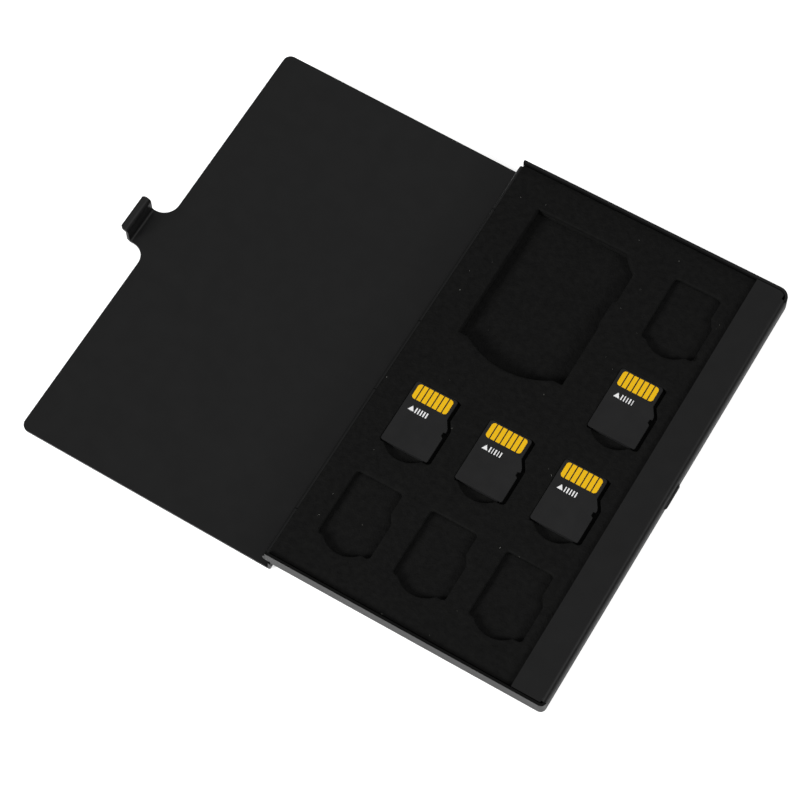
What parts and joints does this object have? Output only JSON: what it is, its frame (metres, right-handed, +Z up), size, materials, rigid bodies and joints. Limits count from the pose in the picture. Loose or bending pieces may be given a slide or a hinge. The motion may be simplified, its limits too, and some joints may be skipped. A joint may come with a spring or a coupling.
{
  "type": "memory card case",
  "caption": "Flat folded-metal case with a hinged lid, a snap latch and a foam insert pocketed for one full-size and several small memory cards.",
  "frame": {"origin": "middle of the closed case's footprint, on the underside of the tray", "axes": "+X across the hinge from the hinge to the catch, +Y along the hinge towards the end with the full-size pocket, +Z up out of the open tray"},
  "size_m": [0.1309, 0.105, 0.0076],
  "materials": {
    "shell": "matt black anodised sheet",
    "pin": "drawn wire",
    "adhesive": "double-sided film",
    "foam": "soft closed-cell foam",
    "card": "moulded, fine matt",
    "contacts": "gold plated"
  },
  "bodies": {
    "tray": {"tray_shell": "shell", "hinge_pin": "pin", "adhesive_sheet": "adhesive", "foam_base": "foam", "foam_middle_layer": "foam", "foam_pocket_layer": "foam"},
    "lid": {"lid_shell": "shell"},
    "small_card_1": {"card_1": "card", "card_1_contacts": "contacts"},
    "small_card_2": {"card_2": "card", "card_2_contacts": "contacts"},
    "small_card_3": {"card_3": "card", "card_3_contacts": "contacts"},
    "small_card_4": {"card_4": "card", "card_4_contacts": "contacts"}
  },
  "joints": [
    {"name": "lid_hinge", "type": "hinge", "parent": "tray", "child": "lid", "pos_m": [-0.03146, 0, 0.00104], "axis": [0, 1, 0], "range_deg": [0, 178]},
    {"name": "card_1_lift", "type": "slide", "parent": "tray", "child": "small_card_1", "axis": [0, 0, -1], "range_m": [-0.015, 0]},
    {"name": "card_2_lift", "type": "slide", "parent": "tray", "child": "small_card_2", "axis": [0, 0, -1], "range_m": [-0.015, 0]},
    {"name": "card_3_lift", "type": "slide", "parent": "tray", "child": "small_card_3", "axis": [0, 0, -1], "range_m": [-0.015, 0]},
    {"name": "card_4_lift", "type": "slide", "parent": "tray", "child": "small_card_4", "axis": [0, 0, -1], "range_m": [-0.015, 0]}
  ]
}
